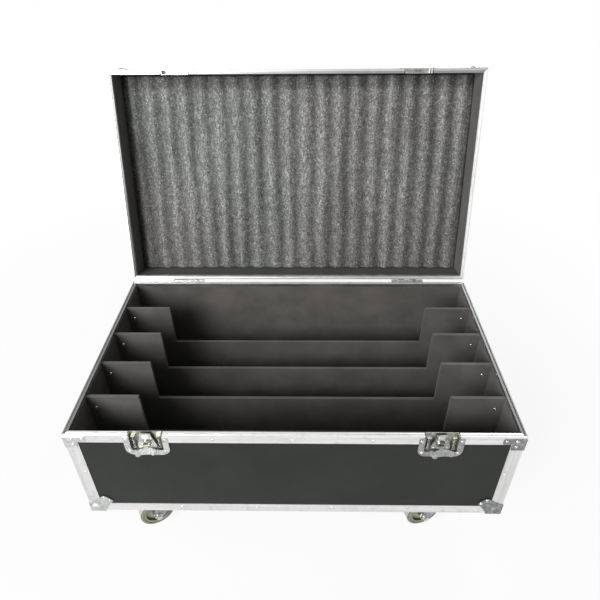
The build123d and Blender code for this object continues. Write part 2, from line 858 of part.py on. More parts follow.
caster_places = {}
for name in caster_turns:
    back, right = name.split("_")
    y = half_width - caster_inset if back == "back" else caster_inset - half_width
    caster_places[name] = Pos(caster_x if right == "right" else -caster_x, y, 0)
write(placed(caster_plate().part, *caster_places.values()), "caster_plates")
for name, turn in caster_turns.items():
    fork_place = caster_places[name] * Rot(0, 0, turn)
    axle_place = fork_place * Pos(-caster_trail, 0, wheel_radius)
    write(placed(caster_fork().part, fork_place), f"caster_fork_{name}")
    write(placed(caster_axle().part, axle_place), f"caster_axle_{name}")
    write(placed(caster_wheel().part, axle_place), f"caster_wheel_{name}")
    write(placed(caster_tyre().part, axle_place), f"caster_tyre_{name}")
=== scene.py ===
"""Finish of the wheeled flight case: materials, rivets, bolts, foam, springs, light and camera."""

import json
import math

import bmesh
import bpy
from mathutils import Matrix, Vector, noise


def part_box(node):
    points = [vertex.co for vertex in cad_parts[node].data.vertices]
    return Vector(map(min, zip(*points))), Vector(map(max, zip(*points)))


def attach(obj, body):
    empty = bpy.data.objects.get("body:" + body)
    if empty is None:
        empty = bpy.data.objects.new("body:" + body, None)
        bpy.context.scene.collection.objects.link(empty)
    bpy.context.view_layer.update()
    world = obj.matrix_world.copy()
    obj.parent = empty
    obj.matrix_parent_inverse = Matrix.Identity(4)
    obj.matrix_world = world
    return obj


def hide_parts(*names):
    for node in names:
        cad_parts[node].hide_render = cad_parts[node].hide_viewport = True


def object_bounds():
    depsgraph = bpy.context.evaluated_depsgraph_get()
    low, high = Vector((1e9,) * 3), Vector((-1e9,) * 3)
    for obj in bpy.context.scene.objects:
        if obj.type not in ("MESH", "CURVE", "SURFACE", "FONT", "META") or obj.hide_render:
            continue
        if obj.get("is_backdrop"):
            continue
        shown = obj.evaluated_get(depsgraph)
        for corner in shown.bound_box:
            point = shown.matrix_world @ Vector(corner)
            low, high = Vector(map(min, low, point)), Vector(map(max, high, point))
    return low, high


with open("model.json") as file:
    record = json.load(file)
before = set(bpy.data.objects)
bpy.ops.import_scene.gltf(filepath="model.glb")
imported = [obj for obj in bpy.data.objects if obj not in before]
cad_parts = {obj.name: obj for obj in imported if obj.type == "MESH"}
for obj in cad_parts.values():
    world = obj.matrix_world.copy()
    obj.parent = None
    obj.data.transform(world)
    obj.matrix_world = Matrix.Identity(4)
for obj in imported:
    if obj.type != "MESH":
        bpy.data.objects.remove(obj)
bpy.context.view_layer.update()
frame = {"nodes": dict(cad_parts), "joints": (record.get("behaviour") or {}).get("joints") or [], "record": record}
MM = 0.001
# Points nearer than the first distance are merged, and a face may pass a solid's box by the second
WELD, LEEWAY = 1e-6, 1e-5
SIDES = (-1, 1)
MIRRORS = [(x, y) for x in SIDES for y in SIDES]


# Places read from the frame


def joint(name):
    """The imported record's joint of that name."""
    return next(j for j in frame["joints"] if j["name"] == name)


def closed_to_rest():
    """The turn that takes a point of the shut lid to where the lid stands open."""
    hinge = joint("lid_hinge")
    pin = Vector(hinge["pos_m"])
    turn = Matrix.Rotation(-math.radians(hinge["range_deg"][1]), 4, Vector(hinge["axis"]))
    return Matrix.Translation(pin) @ turn @ Matrix.Translation(-pin)


LID = closed_to_rest()
BASE = Matrix.Identity(4)
edge_low, edge_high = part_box("base_edge_angles")
half_length, half_width = edge_high.x, edge_high.y
base_z = edge_low.z
rim_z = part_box("base_rim_profiles")[1].z
latch_x = joint("latch_turn_right")["pos_m"][0]
caster_x, caster_y = joint("swivel_back_right")["pos_m"][:2]
# The frame doesn't hold these sizes of the shut case on their own
lid_height, rim_gap, hinge_x = 112 * MM, 0.4 * MM, 380 * MM
lid_top_z = rim_z + lid_height
lid_low_z = rim_z + rim_gap


# Material nodes


class Look:
    """A material's node tree, with a short call for each kind of node."""

    def __init__(self, name, **constants):
        self.material = bpy.data.materials.new(name)
        self.material.use_nodes = True
        self.tree = self.material.node_tree
        self.shader = self.tree.nodes["Principled BSDF"]
        for socket, value in constants.items():
            self.shader.inputs[socket.replace("_", " ")].default_value = value

    def node(self, kind, inputs=None, **settings):
        """A new node, with each input linked to a socket or set to a value."""
        made = self.tree.nodes.new(kind)
        for key, value in settings.items():
            setattr(made, key, value)
        for key, value in (inputs or {}).items():
            if isinstance(value, bpy.types.NodeSocket):
                self.tree.links.new(value, made.inputs[key])
            else:
                made.inputs[key].default_value = value
        return made

    def place(self, scale=(1, 1, 1), turn=(0, 0, 0)):
        """Object coordinates, turned and then scaled."""
        spot = self.node("ShaderNodeTexCoord").outputs["Object"]
        if any(turn):
            spot = self.node("ShaderNodeMapping", {"Vector": spot, "Rotation": turn}).outputs[0]
        return self.node("ShaderNodeMapping", {"Vector": spot, "Scale": scale}).outputs[0]

    def noise(self, spot, scale, detail=3, roughness=0.55, distortion=0):
        """Soft fractal noise between zero and one."""
        inputs = {"Vector": spot, "Scale": scale, "Detail": detail}
        inputs.update({"Roughness": roughness, "Distortion": distortion})
        return self.node("ShaderNodeTexNoise", inputs).outputs[0]

    def cells(self, spot, scale, output="Distance"):
        """Distance from the middle of the nearest cell, or each cell's own colour."""
        return self.node("ShaderNodeTexVoronoi", {"Vector": spot, "Scale": scale}).outputs[output]

    def ramp(self, factor, *stops):
        """A colour ramp through (position, grey or colour) stops."""
        made = self.node("ShaderNodeValToRGB", {"Fac": factor})
        elements = made.color_ramp.elements
        while len(elements) < len(stops):
            elements.new(0.5)
        for element, (position, colour) in zip(elements, stops):
            element.position = position
            element.color = (*colour, 1) if hasattr(colour, "__len__") else (colour, colour, colour, 1)
        return made.outputs["Color"]

    def spread(self, factor, low, high, start=0.0, end=1.0):
        """A factor mapped from start-end to low-high."""
        inputs = {"Value": factor, "From Min": start, "From Max": end, "To Min": low, "To Max": high}
        return self.node("ShaderNodeMapRange", inputs).outputs[0]

    def mix(self, factor, a, b, blend="MIX"):
        """Two colours mixed by a factor. The colour sockets of the node are inputs 6 and 7 and output 2."""
        made = self.node("ShaderNodeMix", data_type="RGBA", blend_type=blend)
        for socket, value in ((made.inputs[0], factor), (made.inputs[6], a), (made.inputs[7], b)):
            if isinstance(value, bpy.types.NodeSocket):
                self.tree.links.new(value, socket)
            else:
                socket.default_value = (*value, 1) if hasattr(value, "__len__") else value
        return made.outputs[2]

    def math(self, operation, a, b):
        """Two sockets or values put together by one operation."""
        made = self.node("ShaderNodeMath", operation=operation)
        for socket, value in zip(made.inputs, (a, b)):
            if isinstance(value, bpy.types.NodeSocket):
                self.tree.links.new(value, socket)
            else:
                socket.default_value = value
        return made.outputs[0]

    def bump(self, height, strength, distance, under=None):
        """A bumped normal, on top of another where one is given."""
        inputs = {"Height": height, "Strength": strength, "Distance": distance}
        if under:
            inputs["Normal"] = under
        return self.node("ShaderNodeBump", inputs).outputs[0]

    def finish(self, **sockets):
        """Links the shader's sockets and gives back the material."""
        for socket, value in sockets.items():
            self.tree.links.new(value, self.shader.inputs[socket.replace("_", " ")])
        return self.material


def laminate():
    """Black phenolic face of the boards, with a fine hammered grain and a few faint scuffs."""
    look = Look("laminate", IOR=1.5, Specular_IOR_Level=0.12)
    spot = look.place()
    cloud = look.noise(spot, 7, 4)
    grain = look.cells(spot, 900)
    scuff = look.noise(look.place((6, 6, 60)), 9, 6, 0.7, 0.6)
    marks = look.ramp(scuff, (0.66, 0.0), (0.74, 1.0))
    base = look.ramp(cloud, (0.3, (0.0185, 0.0205, 0.0185)), (0.7, (0.0245, 0.0265, 0.0235)))
    base = look.mix(look.spread(marks, 0, 0.2), base, (0.1, 0.1, 0.095))
    rough = look.spread(look.noise(spot, 30, 5), 0.4, 0.58)
    normal = look.bump(grain, 0.3, 0.0004, look.bump(look.noise(spot, 3, 2), 0.1, 0.002))
    return look.finish(Base_Color=base, Roughness=rough, Normal=normal)


def aluminium(name, run, level, turn=(0, 0, 0)):
    """Mill finish extrusion with die lines along its run, which is an axis number."""

    def grey(share):
        return tuple(level * share * part for part in (0.995, 1.0, 0.99))

    look = Look(name, Metallic=1.0)
    fine, soft = [900, 900, 900], [160, 160, 160]
    fine[run], soft[run] = 3, 4
    lines = look.noise(look.place(fine, turn), 1, 2)
    bands = look.noise(look.place(soft, turn), 1, 3)
    cloud = look.noise(look.place(turn=turn), 5, 4)
    smear = look.noise(look.place(turn=turn), 34, 5, 0.7, 0.8)
    nick = look.ramp(look.cells(look.place((30, 30, 30), turn), 1.3), (0.03, 1.0), (0.07, 0.0))
    tone = look.ramp(bands, (0.3, grey(0.6)), (0.7, grey(0.745)))
    tone = look.mix(look.spread(cloud, 0, 0.45, 0.45, 0.75), tone, grey(0.51))
    tone = look.mix(look.spread(smear, 0, 0.5, 0.52, 0.72), tone, grey(0.43))
    tone = look.mix(look.spread(nick, 0, 0.4), tone, grey(0.32))
    patches = look.math("ADD", look.math("MULTIPLY", cloud, 0.6), look.math("MULTIPLY", bands, 0.4))
    rough = look.spread(patches, 0.26, 0.44, 0.3, 0.7)
    normal = look.bump(lines, 0.2, 0.0002, look.bump(bands, 0.2, 0.0006))
    return look.finish(Base_Color=tone, Roughness=rough, Normal=normal)


def zinc(name, dark, light, tint, tint_share, rough_low=0.16, rough_high=0.36):
    """Zinc plate on pressed steel: cloudy grey with bright rubbed parts, tints and dark spots."""
    look = Look(name, Metallic=1.0)
    spot = look.place()
    cloud = look.noise(spot, 85, 5, 0.65, 0.5)
    middle = tuple((a + b) / 2 for a, b in zip(dark, light))
    base = look.ramp(cloud, (0.3, dark), (0.52, middle), (0.7, light))
    base = look.mix(look.spread(look.noise(spot, 26, 3), 0, tint_share, 0.48, 0.66), base, tint)
    spangle = look.ramp(look.cells(spot, 260, output="Color"), (0.2, 0.0), (0.8, 1.0))
    base = look.mix(0.16, base, spangle, "OVERLAY")
    speck = look.ramp(look.noise(spot, 420, 3), (0.66, 0.0), (0.78, 1.0))
    base = look.mix(look.spread(speck, 0, 0.6), base, (0.1, 0.105, 0.1))
    rough = look.spread(look.noise(spot, 55, 5), rough_low, rough_high, 0.3, 0.7)
    dents = look.bump(look.noise(spot, 60, 3), 0.25, 0.002)
    normal = look.bump(look.noise(spot, 300, 3), 0.12, 0.0004, dents)
    return look.finish(Base_Color=base, Roughness=rough, Normal=normal)


def felt(name, low, high, sheen=0.15):
    """Short black needle felt with mottled fibres and a little lint."""
    look = Look(name, Roughness=0.95, Sheen_Weight=sheen, Sheen_Roughness=0.5, Specular_IOR_Level=0.2)
    spot = look.place()
    fibre = look.noise(look.place((1, 1.6, 1)), 1500, 4, 0.7, 1.2)
    cloud = look.noise(spot, 11, 4)
    both = look.math("ADD", look.math("MULTIPLY", fibre, 0.55), look.math("MULTIPLY", cloud, 0.45))
    base = look.ramp(both, (0.36, low), (0.64, high))
    lint = look.ramp(look.cells(look.place((1, 1, 2.5)), 130), (0.035, 1.0), (0.06, 0.0))
    base = look.mix(look.spread(lint, 0, 0.25), base, (0.25, 0.245, 0.235))
    normal = look.bump(fibre, 0.5, 0.0006, look.bump(cloud, 0.2, 0.002))
    return look.finish(Base_Color=base, Normal=normal)


def foam_skin(turn):
    """Crinkled skin of closed cell foam, rougher in its creases, with painted shade in its creases and painted
    highlights on its blisters, rib crests and flecks.
    """
    look = Look("foam", Specular_IOR_Level=0.5)
    spot = look.place(turn=turn)
    blister = look.noise(look.place((1, 0.5, 1), turn), 120, 5, 0.7, 1.1)
    crinkle = look.noise(look.place((1, 0.7, 1), turn), 240, 4, 0.7, 0.8)
    both = look.math("ADD", look.math("MULTIPLY", blister, 0.5), look.math("MULTIPLY", crinkle, 0.5))
    # Painted shade and highlight: the colour is darker where the skin's bump is low and lighter where it is high
    base = look.ramp(both, (0.38, 0.035), (0.5, 0.118), (0.62, 0.34))
    crest = look.node("ShaderNodeAttribute", attribute_name="crest").outputs["Fac"]
    worn = look.noise(look.place((1, 0.35, 1), turn), 5.5, 4, 0.6, 0.5)
    # Painted shade in the gaps between the ribs and painted light on their crests, read from the crest attribute
    base = look.mix(1.0, base, look.ramp(crest, (0.0, 0.6), (0.6, 0.98), (1.0, 1.1)), "MULTIPLY")
    base = look.mix(1.0, base, look.ramp(worn, (0.32, 0.72), (0.68, 1.2)), "MULTIPLY")
    tint = look.ramp(look.noise(spot, 1.8, 3), (0.4, (0.94, 1.0, 0.93)), (0.6, (1.0, 0.945, 0.925)))
    base = look.mix(1.0, base, tint, "MULTIPLY")
    # Painted shade: the skin is darker towards the hinges, most of all at the right
    across, along, _ = look.node("ShaderNodeSeparateXYZ", {0: spot}).outputs
    towards_hinges = look.spread(along, 0.0, 1.0, -0.05, 0.3)
    towards_right = look.spread(across, 0.5, 1.0, -0.2, 0.45)
    painted_hinge_shade = look.math("MULTIPLY", towards_hinges, towards_right)
    base = look.mix(painted_hinge_shade, base, look.mix(1.0, base, (0.43, 0.41, 0.4), "MULTIPLY"))
    # A painted shadow of the lid's front wall darkens a band along it, as far as the attribute says
    shade = look.node("ShaderNodeAttribute", attribute_name="shade").outputs["Fac"]
    base = look.mix(1.0, base, look.ramp(shade, (0.0, 0.45), (1.0, 1.0)), "MULTIPLY")
    # Painted highlights: light streaks along the rib crests
    crest_highlight = look.ramp(look.noise(look.place((1, 0.06, 1), turn), 62, 3), (0.6, 0.0), (0.72, 1.0))
    base = look.mix(look.spread(look.math("MULTIPLY", crest_highlight, crest), 0, 0.4), base, (0.42, 0.42, 0.4))
    # Painted glints: light flecks in the colour, strongest on the crests
    fleck = look.ramp(look.noise(spot, 230, 2), (0.64, 0.0), (0.7, 1.0))
    painted_glint = look.math("MULTIPLY", fleck, look.spread(crest, 0.25, 0.85))
    base = look.mix(painted_glint, base, (0.72, 0.72, 0.7))
    rough = look.spread(both, 0.62, 0.3, 0.4, 0.62)
    normal = look.bump(both, 0.8, 0.0026, look.bump(look.cells(spot, 420), 0.3, 0.0008))
    return look.finish(Base_Color=base, Roughness=rough, Normal=normal)


def moulded(name, low, high, rough_low, rough_high, scale=60):
    """Moulded plastic or rubber: a slightly cloudy colour with a fine skin."""
    look = Look(name)
    spot = look.place()
    cloud = look.noise(spot, scale, 4)
    base = look.ramp(cloud, (0.32, low), (0.68, high))
    rough = look.spread(look.noise(spot, 3 * scale, 3), rough_low, rough_high, 0.3, 0.7)
    normal = look.bump(look.noise(spot, 14 * scale, 2), 0.14, 0.0004)
    return look.finish(Base_Color=base, Roughness=rough, Normal=normal)


to_closed = LID.inverted().to_euler()
LID_TURN = (to_closed.x, to_closed.y, to_closed.z)
BOARD = laminate()
ZINC = zinc("zinc", (0.2, 0.205, 0.2), (0.52, 0.525, 0.515), (0.44, 0.43, 0.3), 0.4)
RIVET = zinc("rivet_metal", (0.5, 0.5, 0.49), (0.85, 0.85, 0.84), (0.75, 0.74, 0.66), 0.2)
WING = zinc("wing_zinc", (0.15, 0.157, 0.155), (0.34, 0.345, 0.34), (0.26, 0.26, 0.21), 0.3, 0.5, 0.66)
# Painted light: a lighter copy of the wing zinc for the left wing
LIT_LEFT_WING = zinc(
    "left_wing_painted_light_zinc", (0.25, 0.26, 0.255), (0.46, 0.47, 0.46), (0.4, 0.4, 0.34), 0.3, 0.58, 0.74
)
HOOK = zinc("hook_zinc", (0.5, 0.505, 0.495), (0.8, 0.805, 0.795), (0.6, 0.59, 0.42), 0.4, 0.22, 0.4)
# Painted shade: the ball corners and braces take a darker copy of the zinc
CORNER = zinc("corner_zinc", (0.13, 0.137, 0.135), (0.42, 0.43, 0.425), (0.3, 0.3, 0.24), 0.3)
# Painted light: a lighter copy of the zinc for the left latch dish, braces and ball corners
LIT_LEFT_PLATE = zinc(
    "left_plate_painted_light_zinc", (0.4, 0.42, 0.41), (0.8, 0.815, 0.8), (0.62, 0.63, 0.52), 0.3, 0.24, 0.42
)
WELL = zinc("well_zinc", (0.15, 0.15, 0.13), (0.6, 0.6, 0.54), (0.38, 0.375, 0.28), 0.45, 0.36, 0.56)
# Painted highlight: the beads are far lighter than the hook they stand on
BEAD = zinc("bead_zinc", (0.8, 0.8, 0.79), (0.97, 0.97, 0.96), (0.85, 0.84, 0.76), 0.2, 0.3, 0.5)
SPRING = zinc("spring_steel", (0.1, 0.1, 0.095), (0.5, 0.5, 0.47), (0.36, 0.35, 0.22), 0.4, 0.16, 0.3)
FORK = zinc("fork_zinc", (0.2, 0.22, 0.24), (0.42, 0.46, 0.49), (0.3, 0.33, 0.36), 0.5)
LINING = felt("lining_felt", (0.068, 0.064, 0.06), (0.13, 0.122, 0.114))
DIVIDER = felt("divider_felt", (0.066, 0.063, 0.059), (0.122, 0.116, 0.109), 0.1)
# Painted light: a lighter copy of the felt for the dividers' upward faces
LIT_TOP_FELT = felt("divider_top_painted_light_felt", (0.11, 0.106, 0.1), (0.2, 0.19, 0.18))
# Painted shade: a darker copy of the lining for the lid's wall by the hinges
LID_WALL_FELT = felt("lid_wall_felt", (0.044, 0.042, 0.039), (0.084, 0.08, 0.075), 0.1)
FOAM = foam_skin(LID_TURN)
GRIP = moulded("grip_rubber", (0.02, 0.02, 0.02), (0.034, 0.034, 0.034), 0.55, 0.75)
TYRE = moulded("tyre", (0.4, 0.35, 0.29), (0.52, 0.46, 0.39), 0.45, 0.65)
TYRE_SIDE = moulded("tyre_side", (0.17, 0.17, 0.13), (0.27, 0.27, 0.2), 0.4, 0.6)
WHEEL = moulded("wheel", (0.3, 0.31, 0.2), (0.42, 0.43, 0.3), 0.25, 0.4)
# Painted shade in the wheels' grooves and at the tyres' edges
PAINTED_GROOVE_SHADE = moulded("wheel_groove_painted_shade", (0.05, 0.05, 0.035), (0.1, 0.1, 0.07), 0.3, 0.45)
HUB = moulded("wheel_hub", (0.66, 0.66, 0.48), (0.78, 0.78, 0.62), 0.22, 0.36)
# Painted light and shade: the extrusions that run along X, Y and Z get brighter or darker copies of the metal,
# standing in for how each run reflects the lamps
BASE_LEVELS = (1.25, 1.0, 1.12)
LID_LEVELS = (1.2, 0.93, 1.0)
BASE_EDGING = [aluminium(f"edging_{'xyz'[n]}", n, BASE_LEVELS[n]) for n in range(3)]
LID_EDGING = [aluminium(f"lid_edging_{'xyz'[n]}", n, LID_LEVELS[n], LID_TURN) for n in range(3)]
# Painted shade on the base's side rims, the lid's front rim and its inner lips, and a painted highlight on the
# lid's right rim
SHADED_RIM_LEFT = aluminium("painted_shade_rim_left", 1, 0.4)
SHADED_RIM_RIGHT = aluminium("painted_shade_rim_right", 1, 0.22)
LIT_LID_RIM = aluminium("painted_light_lid_rim", 1, 1.3, LID_TURN)
SHADED_LID_RIM = aluminium("painted_shade_lid_rim", 0, 0.75, LID_TURN)
LIP_SIDE = aluminium("lid_lip_side", 1, 0.16, LID_TURN)
LIP_FRONT = aluminium("lid_lip_front", 0, 0.45, LID_TURN)


def islands(bm):
    """The faces of each separate solid in turn."""
    seen = set()
    for start in bm.faces:
        if start in seen:
            continue
        seen.add(start)
        stack, island = [start], []
        while stack:
            face = stack.pop()
            island.append(face)
            for other in (other for edge in face.edges for other in edge.link_faces):
                if other not in seen:
                    seen.add(other)
                    stack.append(other)
        yield island


def finish_runs(node, materials, to_box):
    """Gives each separate solid of a node the material whose lines run along its longest side."""
    mesh = node.data
    mesh.materials.clear()
    for material in materials:
        mesh.materials.append(material)
    bm = bmesh.new()
    bm.from_mesh(mesh)
    bmesh.ops.remove_doubles(bm, verts=bm.verts, dist=WELD)
    runs = []
    for island in islands(bm):
        points = [to_box @ v.co for face in island for v in face.verts]
        low = [min(p[n] for p in points) for n in range(3)]
        high = [max(p[n] for p in points) for n in range(3)]
        sizes = [b - a for a, b in zip(low, high)]
        runs.append((low, high, sizes.index(max(sizes))))
    bm.free()
    for polygon in mesh.polygons:
        corners = [to_box @ mesh.vertices[v].co for v in polygon.vertices]
        for low, high, run in runs:
            if all(low[n] - LEEWAY <= c[n] <= high[n] + LEEWAY for c in corners for n in range(3)):
                polygon.material_index = run
                break


FINISHES = {
    "board": BOARD, "hardware": ZINC, "lining": LINING, "divider": DIVIDER, "grip": GRIP,
    "tyre": TYRE, "wheel": WHEEL, "fork": FORK, "foam": FOAM,
}
OWN_FINISHES = {
    "latch_wing": WING, "latch_hook": HOOK, "base_ball_corners": CORNER, "lid_ball_corners": CORNER,
    "base_rim_braces": CORNER, "lid_rim_braces": CORNER, "caster_axle": RIVET,
}
for subpart in frame["record"]["subparts"]:
    cad = frame["nodes"][subpart["node"]]
    if subpart["material_slot"] == "edging":
        on_lid = subpart["node"].startswith("lid_")
        finish_runs(cad, LID_EDGING if on_lid else BASE_EDGING, LID.inverted() if on_lid else BASE)
    else:
        own = [finish for start, finish in OWN_FINISHES.items() if subpart["node"].startswith(start)]
        cad.data.materials.clear()
        cad.data.materials.append(own[0] if own else FINISHES[subpart["material_slot"]])


# Second finishes, on faces picked by their place; several are painted light or shade, as lighter or darker copies
# of a material

# A face is level where its normal's Z is over the first value, and part of a rounded edge over the second
level_z, rounded_z = 0.9, 0.3
rim_width, lip_start = 12.6 * MM, 6.3 * MM
well_start, lid_wall_reach = 2 * MM, 20 * MM
tyre_face, tyre_shoulder = 48.9 * MM, 49.65 * MM
hub_radius = 13.5 * MM
wheel_grooves = ((33 * MM, 35.5 * MM), (hub_radius, 15.5 * MM))


def second_finish(node, material, belongs):
    """Gives the faces that pass a test a second material."""
    mesh = frame["nodes"][node].data
    mesh.materials.append(material)
    for polygon in mesh.polygons:
        if belongs(polygon):
            polygon.material_index = len(mesh.materials) - 1


def off_axle(name):
    """A function that measures how far a point is from a caster's axle."""
    spin = joint(f"wheel_spin_{name}")
    middle, axis = Vector(spin["pos_m"]), Vector(spin["axis"]).normalized()

    def distance(point):
        arm = point - middle
        return (arm - arm.dot(axis) * axis).length

    return distance


def side_rim(side):
    """A test for the top faces of the base's left (-1) or right (1) rim extrusion."""

    def belongs(polygon):
        x, y = polygon.center.x * side, abs(polygon.center.y)
        return polygon.normal.z > rounded_z and x > half_length - rim_width and y < half_width - rim_width

    return belongs


def lid_rim(from_edge, to_edge, axis, side):
    """A test for the lid's rim faces that lie so far in from one side, measured with the lid shut."""
    shut = LID.inverted()
    halves = (half_length, half_width)

    def belongs(polygon):
        middle, normal = shut @ polygon.center, shut.to_3x3() @ polygon.normal
        inward = halves[axis] - side * middle[axis]
        clear = abs(middle[1 - axis]) < halves[1 - axis] - rim_width
        return normal.z < -rounded_z and clear and from_edge < inward < to_edge

    return belongs


second_finish("base_rim_profiles", SHADED_RIM_LEFT, side_rim(-1))
second_finish("base_rim_profiles", SHADED_RIM_RIGHT, side_rim(1))
second_finish("lid_rim_profiles", LIT_LID_RIM, lid_rim(0, rim_width, 0, 1))
second_finish("lid_rim_profiles", SHADED_LID_RIM, lid_rim(0, lip_start, 1, -1))
second_finish("lid_rim_profiles", LIP_SIDE, lid_rim(lip_start, rim_width, 0, -1))
second_finish("lid_rim_profiles", LIP_FRONT, lid_rim(lip_start, rim_width, 1, -1))
# Painted light on the left latch dish, braces and ball corners
second_finish("latch_dishes", LIT_LEFT_PLATE, lambda p: p.center.x < 0)
second_finish("latch_dishes", WELL, lambda p: p.center.y > -half_width + well_start)
for node in ("base_rim_braces", "base_ball_corners"):
    second_finish(node, LIT_LEFT_PLATE, lambda p: p.center.x < 0)
second_finish("latch_wing_left", LIT_LEFT_WING, lambda p: True)
# Painted shade: the right hook takes the darker zinc, while the left keeps the lighter hook zinc
second_finish("latch_hook_right", ZINC, lambda p: True)
# Painted shade on the lid's wall by the hinges
lid_wall_y = half_width - lid_wall_reach
second_finish("lid_lining", LID_WALL_FELT, lambda p: (LID.inverted() @ p.center).y > lid_wall_y)
# Painted light on the dividers' upward faces
for number in range(1, 5):
    second_finish(f"divider_{number}", LIT_TOP_FELT, lambda p: p.normal.z > level_z)
for name in ("front_left", "front_right", "back_left", "back_right"):
    reach = off_axle(name)
    second_finish(f"caster_tyre_{name}", TYRE_SIDE, lambda p: reach(p.center) < tyre_shoulder)
    # Painted shade: a dark ring at the tyre's edge and dark bands in the wheel's grooves
    second_finish(f"caster_tyre_{name}", PAINTED_GROOVE_SHADE, lambda p: tyre_face < reach(p.center) < tyre_shoulder)
    for inner, outer in wheel_grooves:
        second_finish(f"caster_wheel_{name}", PAINTED_GROOVE_SHADE, lambda p: inner < reach(p.center) < outer)
    second_finish(f"caster_wheel_{name}", HUB, lambda p: reach(p.center) <= hub_radius)


# Pieces


def piece(name, bm, material, body, smooth_angle=35):
    """A finished mesh on its body, with sharp edges kept above an angle."""
    mesh = bpy.data.meshes.new(name)
    bm.to_mesh(mesh)
    bm.free()
    mesh.materials.append(material)
    made = bpy.data.objects.new(name, mesh)
    bpy.context.scene.collection.objects.link(made)
    for polygon in mesh.polygons:
        polygon.use_smooth = True
    mesh.set_sharp_from_angle(angle=math.radians(smooth_angle))
    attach(made, body)
    return made


def facing(spot, normal):
    """A place whose Z looks along a normal."""
    return Matrix.Translation(spot) @ Vector(normal).to_track_quat("Z", "Y").to_matrix().to_4x4()


def lathe(bm, place, profile, sides=20):
    """Adds a closed turned shape from (radius, height) points, from its lower to its upper middle."""
    turns = [2 * math.pi * n / sides for n in range(sides)]
    rings = []
    for radius, height in profile:
        if radius == 0:
            spots = [(0, 0, height)]
        else:
            spots = [(radius * math.cos(t), radius * math.sin(t), height) for t in turns]
        rings.append([bm.verts.new(place @ Vector(spot)) for spot in spots])
    for low, high in zip(rings, rings[1:]):
        for n in range(sides):
            m = (n + 1) % sides
            if len(low) == 1:
                bm.faces.new((low[0], high[m], high[n]))
            elif len(high) == 1:
                bm.faces.new((low[n], low[m], high[0]))
            else:
                bm.faces.new((low[n], low[m], high[m], high[n]))


# Rivet heads, each with its radius and height
CORNER_RIVET = (4.4 * MM, 1.9 * MM)
EDGE_RIVET = (3.8 * MM, 1.3 * MM)
RIM_RIVET = (3.6 * MM, 1.1 * MM)
LATCH_RIVET = (4.2 * MM, 1.8 * MM)
PLATE_RIVET = (3.9 * MM, 1.5 * MM)
BRACKET_RIVET = (4.6 * MM, 1.9 * MM)
HOOK_RIVET = (2.6 * MM, 1.0 * MM)


def rivet(bm, place, radius, height):
    """A blind rivet's domed head with the broken mandrel in its middle."""
    sunk = -0.4 * MM
    dome = [(radius * math.cos(a), height * math.sin(a)) for a in (0.12, 0.45, 0.8, 1.1)]
    pit = [(a * radius, b * height) for a, b in ((0.3, 0.93), (0.24, 0.7), (0.2, 0.72), (0, 0.8))]
    lathe(bm, place, [(0, sunk), (radius, sunk), (radius, 0.05 * height), *dome, *pit])


def hex_bolt(bm, place, across=13 * MM, height=5.3 * MM, washer=9 * MM):
    """A hexagon head with a chamfered top, on a washer."""
    thick, flat = 1.6 * MM, 1.3 * MM
    rim = washer - 0.3 * MM
    lathe(bm, place, [(0, 0), (washer, 0), (washer, flat), (rim, thick), (0, thick)], sides=28)
    radius = across / math.sqrt(3)
    head = place @ Matrix.Translation((0, 0, thick))
    top = 0.88 * radius
    lathe(bm, head, [(0, 0), (radius, 0), (radius, 0.86 * height), (top, height), (0, height)], sides=6)


# Rivets and bolts, at places on the faces of the shut case


def corner_heads(bm, frame_matrix, edge_z, up):
    """Two rivets on each ear of the ball corners."""
    near, far = 47 * MM, 61 * MM
    sheet = 1.6 * MM
    for x, y in MIRRORS:
        corner = Vector((x * half_length, y * half_width, edge_z))
        for a, b in ((near, far), (far, near)):
            ears = (
                (Vector((-x * a, y * sheet, up * b)), (0, y, 0)),
                (Vector((x * sheet, -y * a, up * b)), (x, 0, 0)),
                (Vector((-x * a, -y * b, -up * sheet)), (0, 0, -up)),
            )
            for offset, normal in ears:
                rivet(bm, frame_matrix @ facing(corner + offset, normal), *CORNER_RIVET)


def brace_heads(bm, frame_matrix, edge_z, down):
    """Three rivets on each leg of the rim braces."""
    sheet = 1.4 * MM
    for x, y in MIRRORS:
        corner = Vector((x * half_length, y * half_width, edge_z))
        for along, drop in ((48 * MM, 16 * MM), (21.5 * MM, 16 * MM), (21.5 * MM, 35.5 * MM)):
            on_long_leg = corner + Vector((-x * along, y * sheet, down * drop))
            rivet(bm, frame_matrix @ facing(on_long_leg, (0, y, 0)), *CORNER_RIVET)
            on_end_leg = corner + Vector((x * sheet, -y * along, down * drop))
            rivet(bm, frame_matrix @ facing(on_end_leg, (x, 0, 0)), *CORNER_RIVET)


def edge_heads(bm, frame_matrix, edge_z, up, wall_height):
    """Rivets along the bottom or top edge angles, and one on each leg of a tall corner angle."""
    inset, post_inset, post_rise, tall = 21 * MM, 24 * MM, 175 * MM, 200 * MM
    spots = []
    for side in SIDES:
        for x in (-315 * MM, -105 * MM, 105 * MM, 315 * MM):
            spots.append(((x, side * half_width, edge_z + up * inset), (0, side, 0)))
            spots.append(((x, side * (half_width - inset), edge_z), (0, 0, -up)))
        for y in (-150 * MM, 0, 150 * MM):
            spots.append(((side * half_length, y, edge_z + up * inset), (side, 0, 0)))
            spots.append(((side * (half_length - inset), y, edge_z), (0, 0, -up)))
    if wall_height > tall:
        z = edge_z + up * post_rise
        for x, y in MIRRORS:
            spots.append(((x * half_length, y * (half_width - post_inset), z), (x, 0, 0)))
            spots.append(((x * (half_length - post_inset), y * half_width, z), (0, y, 0)))
    for spot, normal in spots:
        rivet(bm, frame_matrix @ facing(spot, normal), *EDGE_RIVET)


